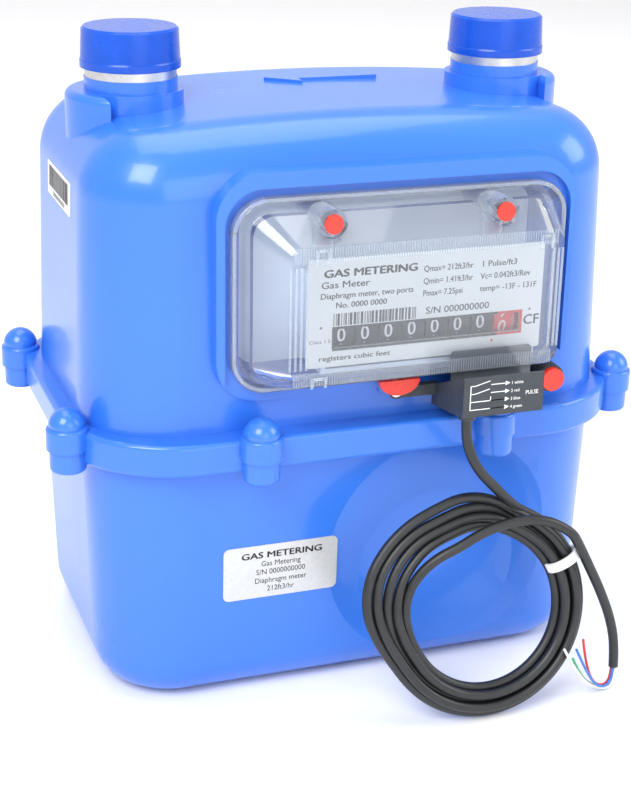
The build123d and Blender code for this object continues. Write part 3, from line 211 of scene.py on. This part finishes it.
label_film = label_material()
assign = {
    "upper_case": paint, "lower_case": paint, "case_gasket": dark_rubber, "flange_screws": paint,
    "outlet_spud": steel, "inlet_spud": steel, "outlet_cap": cap_blue, "inlet_cap": cap_blue,
    "labels": label_film, "measuring_body": unit_grey, "front_chamber_cover": unit_grey,
    "rear_chamber_cover": unit_grey, "outlet_tube": unit_grey, "valve_table": unit_grey,
    "front_diaphragm": coated, "rear_diaphragm": coated, "front_disc": bare_alu, "rear_disc": bare_alu,
    "front_flag_rod": steel, "rear_flag_rod": steel, "front_top_arm": steel, "rear_top_arm": steel,
    "drum_shaft": steel, "pinion_shaft": steel, "index_drive_shaft": steel, "window_screws": steel,
    "sensor_screws": steel, "front_link": acetal, "rear_link": acetal, "crank": acetal,
    "worm_shaft": acetal, "worm_wheel": acetal, "crown_gear": acetal, "rod_bushes": acetal,
    "gland_bush": acetal, "transfer_pinions": acetal, "drive_bracket": acetal,
    "front_slide_valve": phenolic, "rear_slide_valve": phenolic, "index_base": index_white,
    "index_frame": index_white, "dial_plate": dial_white, "index_window": window_clear,
    "seal_plugs": seal_red, "sensor_housing": sensor_grey, "cable_gland": sensor_grey,
    "sensor_bracket": bracket_grey, "cable_tie": tie_white, "cable_lead": cable_black,
    "cable_coil": cable_black, "cable_tail": cable_black, "conductors": copper, "drum_8": drum_red,
}
for number in range(1, 8):
    assign["drum_%d" % number] = drum_black
for name, mat in assign.items():
    data = nodes[name].data
    if len(data.materials) == 0:
        data.materials.append(mat)
    for i in range(len(data.materials)):
        data.materials[i] = mat


# ------------------------------------------------------------------- cable
def nurbs(name, points, diameter, mat):
    c = bpy.data.curves.new(name, "CURVE")
    c.dimensions = "3D"
    s = c.splines.new("NURBS")
    s.points.add(len(points) - 1)
    for p, q in zip(s.points, points):
        p.co = (q[0] / 1000, q[1] / 1000, q[2] / 1000, 1)
    s.order_u = 3
    s.use_endpoint_u = True
    c.resolution_u = 6
    c.bevel_depth = diameter / 2
    c.bevel_resolution = 5
    c.use_fill_caps = True
    c.materials.append(mat)
    o = bpy.data.objects.new(name, c)
    bpy.context.collection.objects.link(o)
    return o


def smooth(t):
    t = max(0.0, min(1.0, t))
    return t * t * (3 - 2 * t)


lean = math.radians(13)
coil_e = Vector((0, math.sin(lean), math.cos(lean)))
coil_n = Vector((0, -math.cos(lean), math.sin(lean)))
coil_c = Vector((31, -97, 0.3)) + coil_e * 37.5
route = [
    (22.8, -83.4, 104.4), (22.8, -83.4, 98.2), (24.4, -84.6, 91.6), (28.2, -84.6, 85.2),
    (33.6, -83.4, 79.6), (38.8, -82.8, 74.0), (43.9, -82.2, 69.2),
]
along = 306.0
while along < 2126:
    turn = math.floor((along - 235) / 360)
    within = along - 360 * (turn + 1)
    index = turn + smooth((within - 200) / 62) if within > 100 else turn
    place = along % 360
    fan = smooth((place - 150) / 50) * (1 - smooth((place - 262) / 38))
    whole = math.floor(index + 0.001)
    part = index - whole
    side = (-1.4 if whole % 2 == 0 else 1.4) * (1 - fan)
    tight = (2 - index) * 2.1
    loose = (2.5 - index) * 3.5
    reach = 31.4 + 3.2 * fan + tight * (1 - fan) + loose * fan
    side += 5.2 * smooth((along - 1990) / 60)
    reach += (38.3 - reach) * smooth((along - 2050) / 76)
    angle = math.radians(-along)
    out = Vector((1, 0, 0)) * math.cos(angle) + coil_e * math.sin(angle)
    wave = 0.35 * math.sin(along * 0.037) + 0.25 * math.sin(along * 0.083)
    point = coil_c + out * (reach + wave * fan) + coil_n * side
    route.append(tuple(point))
    along += 15
route += [
    (63.4, -89.0, 57.6), (67.8, -89.4, 49.0), (73.2, -89.6, 38.4), (77.8, -90.0, 27.4),
    (79.9, -91.2, 17.2), (79.8, -91.9, 8.8),
]
cable = nurbs("cable", route, 0.0034, cable_black)
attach(cable, "case")
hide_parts("cable_lead", "cable_coil", "cable_tail")

wire_routes = {
    "green": [(80.3, -91.3, 8.8), (80.2, -91.5, 1.2), (73.5, -91.5, 1.6), (66.0, -94.3, 8.1), (60.9, -96.9, 17.6)],
    "red": [(79.3, -91.4, 8.8), (79.2, -91.7, 2.0), (72.3, -93.5, 3.2), (67.2, -94.9, 12.8), (64.2, -97.0, 24.4)],
    "blue": [(79.3, -92.4, 8.8), (79.2, -92.7, 2.4), (72.6, -95.2, 3.3), (66.9, -96.6, 10.9), (61.4, -97.9, 21.6)],
    "white": [(80.3, -92.4, 8.8), (80.2, -92.7, 1.3), (73.6, -93.4, 1.7), (64.5, -96.0, 9.0), (56.6, -98.2, 22.6)],
}
wires = {}
for colour, way in wire_routes.items():
    wire = nurbs("wire_" + colour, way, 0.0009, wire_paint[colour])
    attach(wire, "case")
    wires[colour] = wire
for colour, wire in wires.items():
    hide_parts("conductors")


# ------------------------------------------------------------ mesh helpers
def mesh_object(name, verts, faces, mat, body):
    me = bpy.data.meshes.new(name)
    me.from_pydata([tuple(v) for v in verts], [], faces)
    me.update()
    me.materials.append(mat)
    o = bpy.data.objects.new(name, me)
    bpy.context.collection.objects.link(o)
    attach(o, body)
    return o


class Sheet:
    """Collects flat raised print on one plane: origin, x and y directions, in millimetres."""

    def __init__(self, origin, x_dir, y_dir, thick=0.04):
        self.origin = Vector(origin)
        self.x = Vector(x_dir).normalized()
        self.y = Vector(y_dir).normalized()
        self.n = self.x.cross(self.y)
        self.thick = thick
        self.verts = []
        self.faces = []

    def place(self, x, y, h):
        return (self.origin + self.x * x + self.y * y + self.n * h) / 1000

    def polygon(self, points):
        """A closed raised outline, listed anticlockwise."""
        base = len(self.verts)
        count = len(points)
        for h in (-0.02, self.thick):
            for x, y in points:
                self.verts.append(self.place(x, y, h))
        self.faces.append([base + count + i for i in range(count)])
        self.faces.append([base + count - 1 - i for i in range(count)])
        for i in range(count):
            j = (i + 1) % count
            self.faces.append([base + i, base + j, base + count + j, base + count + i])

    def bar(self, x0, y0, x1, y1):
        self.polygon([(x0, y0), (x1, y0), (x1, y1), (x0, y1)])

    def line(self, x0, y0, x1, y1, width):
        d = Vector((x1 - x0, y1 - y0)).normalized() * width / 2
        self.polygon([(x0 + d.y, y0 - d.x), (x1 + d.y, y1 - d.x), (x1 - d.y, y1 + d.x), (x0 - d.y, y0 + d.x)])

    def text(self, words, x, y, height, width=0.0, align="LEFT", bend=None, heavy=0.0):
        """Letters of a capital height, drawn out to a width if one is given; heavy thickens them."""
        if heavy:
            self.text(words, x + heavy, y + heavy / 2, height, width, align, bend)
        c = bpy.data.curves.new("letters", "FONT")
        c.body = words
        c.size = height / 0.72
        c.resolution_u = 3
        c.align_x = align
        o = bpy.data.objects.new("letters", c)
        bpy.context.collection.objects.link(o)
        bpy.context.view_layer.update()
        me = bpy.data.meshes.new_from_object(o)
        base = len(self.verts)
        count = len(me.vertices)
        reach = [v.co.x for v in me.vertices]
        stretch = width / (max(reach) - min(reach)) if width else 0.92
        for h in (-0.02, self.thick):
            for v in me.vertices:
                px, py = x + v.co.x * stretch, y + v.co.y
                self.verts.append(bend(px, py, h) if bend else self.place(px, py, h))
        edge_use = {}
        for poly in me.polygons:
            ids = list(poly.vertices)
            self.faces.append([base + count + i for i in ids])
            self.faces.append([base + i for i in reversed(ids)])
            for a, b in zip(ids, ids[1:] + ids[:1]):
                edge_use[(a, b)] = edge_use.get((a, b), 0) + 1
        for (a, b) in edge_use:
            if (b, a) not in edge_use:
                self.faces.append([base + a, base + b, base + count + b, base + count + a])
        bpy.data.objects.remove(o)
        bpy.data.meshes.remove(me)
        bpy.data.curves.remove(c)

    def build(self, name, mat, body):
        return mesh_object(name, self.verts, self.faces, mat, body)


def barcode(sheet, x0, x1, y0, y1, step, seed):
    rng = random.Random(seed)
    x = x0
    while x < x1 - step:
        wide = step * rng.choice((1, 1, 2, 3))
        sheet.bar(x, y0, min(x + wide, x1), y1)
        x += wide + step * rng.choice((1, 1, 2))


# -------------------------------------------------------------- dial print
dial_plane = ((0, -69.5, 0), (1, 0, 0), (0, 0, 1))
dial = Sheet(*dial_plane)
barcode(dial, -18.3, 10.0, 134.8, 138.8, 0.26, 3)
dial.text("GAS METERING", -22.0, 150.7, 2.5, 31.0, heavy=0.34)
dial.text("GAS METERING", -21.83, 150.7, 2.5, 31.0, heavy=0.0)
dial.text("Gas Meter", -22.7, 147.2, 2.2, 16.0, heavy=0.1)
dial.text("Diaphragm meter, two ports", -22.9, 143.8, 1.9, 31.0, heavy=0.1)
dial.text("No. 0000 0000", -17.8, 140.6, 1.9, 17.0, heavy=0.1)
dial.text("Class 1.5", -26.3, 129.4, 1.2, 7.0)
dial.text("registers cubic feet", -23.1, 123.4, 1.7, 24.0, heavy=0.1)
for x, words, z, width in (
    (11.6, "Qmax= 212ft3/hr", 150.1, 17.0), (11.6, "Qmin= 1.41ft3/hr", 146.0, 17.0),
    (11.6, "Pmax= 7.25psi", 142.0, 13.5), (31.4, "1 Pulse/ft3", 150.1, 12.0),
    (31.4, "Vc= 0.042ft3/Rev", 146.0, 17.5), (31.4, "temp= -13F - 131F", 141.9, 20.0),
):
    dial.text(words, x, z, 2.0, width, heavy=0.08)
dial.text("S/N 000000000", 12.8, 136.0, 2.3, 22.0, heavy=0.08)
dial.text("CF", 47.4, 129.3, 3.4, 5.4, heavy=0.16)
for x in (-22.4, 49.6):
    dial.polygon([(x - 0.5, 134.2), (x + 0.5, 134.2), (x, 135.1)])
dial.build("dial_print", ink, "case")

# black surround of the figure window, with its red share
frame_print = Sheet(*dial_plane)
frame_print.bar(-18.6, 133.7, 38.3, 134.5)
frame_print.bar(-18.6, 126.5, 38.3, 127.3)
frame_print.bar(-18.7, 127.3, -17.9, 133.7)
frame_print.build("dial_surround", ink, "case")
red_print = Sheet(*dial_plane)
red_print.bar(38.3, 133.7, 47.1, 134.5)
red_print.bar(38.3, 126.5, 47.1, 127.3)
red_print.bar(46.3, 127.3, 47.1, 133.7)
dot = [(36.6 + 0.5 * math.cos(math.radians(a)), 124.9 + 0.5 * math.sin(math.radians(a))) for a in range(0, 360, 20)]
red_print.polygon(dot)
red_print.build("dial_red_marks", red_ink, "case")

# ------------------------------------------------------------ drum figures
drum_y, drum_z, drum_r = -58.0, 130.5, 8.8
for number in range(1, 9):
    left = 14.2 - 32 + (number - 1) * 8 + 0.2
    offset = 0.45 if number == 8 else 0.0
    figures = Sheet(*dial_plane)
    for digit in range(10):
        turn = math.radians(36 * (digit + offset))

        def bend(px, py, h, turn=turn):
            a = py / drum_r - turn
            r = drum_r + h
            return Vector((px, drum_y - r * math.cos(a), drum_z + r * math.sin(a))) / 1000

        figures.text(str(digit), left + 3.0, -2.05, 4.7, 0.0, "CENTER", bend, heavy=0.14)
    if number == 8:
        for tick in range(100):
            a = math.radians(3.6 * tick)
            long = 1.4 if tick % 10 == 0 else 0.8
            base = len(figures.verts)
            for da in (-0.006, 0.006):
                for px in (left + 7.3 - long, left + 7.3):
                    for h in (-0.02, 0.04):
                        r = drum_r + h
                        figures.verts.append(
                            Vector((px, drum_y - r * math.cos(a + da), drum_z + r * math.sin(a + da))) / 1000)
            for f in ((0, 1, 3, 2), (4, 6, 7, 5), (0, 2, 6, 4), (1, 5, 7, 3), (0, 4, 5, 1), (2, 3, 7, 6)):
                figures.faces.append([base + i for i in f])
    figures.build("figures_%d" % number, white_ink, "drum_%d_body" % number)

# ------------------------------------------------------------ sensor print
sensor = Sheet((0, -87.0, 0), (1, 0, 0), (0, 0, 1))
for y in (116.6, 113.9, 111.2, 108.5):
    sensor.line(29.0, y, 34.2, y, 0.28)
    sensor.polygon([(34.0, y - 0.75), (35.6, y), (34.0, y + 0.75)])
    sensor.line(22.0, y, 23.6, y, 0.28) if y > 112 else sensor.line(22.0, y, 34.0, y, 0.28)
sensor.line(22.0, 108.4, 22.0, 116.7, 0.28)
for y in (116.6, 113.9):
    sensor.line(23.6, y, 28.6, y + 1.3, 0.28)
sensor.line(29.0, 111.2, 29.0, 112.6, 0.28)
for words, z in (("1 white", 116.0), ("2 red", 113.3), ("3 blue", 110.6), ("4 green", 107.9)):
    sensor.text(words, 36.0, z, 1.1)
sensor.text("PULSE", 41.2, 112.0, 1.4, 4.4)
sensor.build("sensor_print", white_ink, "case")

# ------------------------------------------------------------- label print
tilt = math.radians(1.8)
label_depth = 59.5 - (92 - 46.6) * math.tan(tilt) + 0.22
rating = Sheet((-30.8, -label_depth, 46.6), (1, 0, 0), (0, -math.sin(tilt), math.cos(tilt)))
rating.text("GAS METERING", -14, 5.0, 2.3, 28.0, heavy=0.24)
rating.text("Gas Metering", 0, 1.9, 2.0, 0.0, "CENTER")
rating.text("S/N 0000000000", 0, -1.2, 2.0, 0.0, "CENTER")
rating.text("Diaphragm meter", 0, -4.4, 2.0, 0.0, "CENTER")
rating.text("212ft3/hr", 0, -7.6, 2.0, 0.0, "CENTER")
rating.build("label_print", ink, "case")
strip_depth = 92.5 - (167.5 - 92) * math.tan(tilt) + 0.22
strip = Sheet((-strip_depth, -2.0, 167.5), (0, -1, 0), (math.sin(tilt), 0, math.cos(tilt)))
barcode(strip, -15.5, 15.5, -2.6, 4.4, 0.28, 11)
strip.text("0000000000", 0, -4.9, 1.7, 18.0, "CENTER")
strip.build("strip_print", ink, "case")

# ------------------------------------------------------- ribs on the window
ribs = Sheet((0, -73.2, 0), (1, 0, 0), (0, 0, 1), thick=0.22)
for step in range(105):
    x = -32.6 + 0.85 * step
    ribs.bar(x, 157.0, x + 0.4, 161.8)
    ribs.bar(x, 116.8, x + 0.4, 121.2)
for x in (-34.2, -32.4, -30.6, -28.8, 54.6, 56.4, 57.8):
    ribs.bar(x, 122.4, x + 0.8, 155.6)
ribs.build("window_ribs", rib_clear, "case")

# clips of the dial, seen through the window's corners
clips = Sheet((0, -73.5, 0), (1, 0, 0), (0, 0, 1), thick=0.5)
for x0, x1, z0, z1 in ((-26.0, -21.0, 156.4, 161.2), (50.0, 54.6, 155.8, 160.4), (-27.0, -21.6, 116.2, 119.6)):
    clips.bar(x0, z0, x0 + 0.9, z1)
    clips.bar(x1 - 0.9, z0, x1, z1)
    clips.bar(x0 + 0.9, z1 - 0.9, x1 - 0.9, z1)
clips.build("window_clips", rib_clear, "case")

# rounded bead along the window's rim
bead = bpy.data.curves.new("window_bead", "CURVE")
bead.dimensions = "3D"
line = bead.splines.new("POLY")
bead_box = (-48.3, 63.7, 112.7, 174.3)
bead_corner = 10.6
outline = []
for quarter, (x, z) in enumerate((
    (bead_box[1] - bead_corner, bead_box[3] - bead_corner), (bead_box[0] + bead_corner, bead_box[3] - bead_corner),
    (bead_box[0] + bead_corner, bead_box[2] + bead_corner), (bead_box[1] - bead_corner, bead_box[2] + bead_corner),
)):
    for step in range(13):
        a = math.radians(90 * quarter + 7.5 * step)
        outline.append((x + bead_corner * math.cos(a), z + bead_corner * math.sin(a)))
line.points.add(len(outline) - 1)
for p, (x, z) in zip(line.points, outline):
    p.co = (x / 1000, -0.0618, z / 1000, 1)
line.use_cyclic_u = True
bead.bevel_depth = 0.0008
bead.bevel_resolution = 4
bead.materials.append(rib_clear)
bead_object = bpy.data.objects.new("window_bead", bead)
bpy.context.collection.objects.link(bead_object)
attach(bead_object, "case")

# ----------------------------------------------------------- floor, light
floor_mat = material("floor_white", (0.93, 0.93, 0.94), rough=0.55, vary=0.01, bump=0.0)
floor = bpy.data.meshes.new("floor")
verts, faces = [], []
profile = [(-3.0, 0.0)]
for step in range(13):
    a = math.radians(90 * step / 12)
    profile.append((1.6 + 0.9 * math.sin(a), 0.9 - 0.9 * math.cos(a)))
profile.append((2.5, 3.5))
for y, z in profile:
    verts.append((-4.0, y, z - 0.0001))
    verts.append((4.0, y, z - 0.0001))
for i in range(len(profile) - 1):
    faces.append((2 * i, 2 * i + 1, 2 * i + 3, 2 * i + 2))
floor.from_pydata(verts, [], faces)
floor.materials.append(floor_mat)
for p in floor.polygons:
    p.use_smooth = True
floor_object = bpy.data.objects.new("floor", floor)
bpy.context.collection.objects.link(floor_object)

world = bpy.data.worlds.new("studio")
world.use_nodes = True
world.node_tree.nodes["Background"].inputs["Color"].default_value = (1.0, 1.0, 1.0, 1)
world.node_tree.nodes["Background"].inputs["Strength"].default_value = 0.66
bpy.context.scene.world = world


def area(name, place, target, size, power, size_y=None):
    data = bpy.data.lights.new(name, "AREA")
    data.shape = "RECTANGLE"
    data.size = size
    data.size_y = size_y or size
    data.energy = power
    o = bpy.data.objects.new(name, data)
    o.location = place
    o.rotation_euler = (Vector(target) - Vector(place)).to_track_quat("-Z", "Y").to_euler()
    bpy.context.collection.objects.link(o)


area("key", (-0.9, -0.9, 1.3), (0, 0, 0.1), 0.9, 24)
area("side", (1.3, -0.5, 0.8), (0, 0, 0.1), 0.8, 9)
area("top", (0.1, 0.3, 1.6), (0, 0, 0.1), 1.2, 12)
area("front", (0.2, -1.6, 0.6), (0, 0, 0.1), 1.0, 6)
bpy.context.scene.view_settings.view_transform = "Standard"
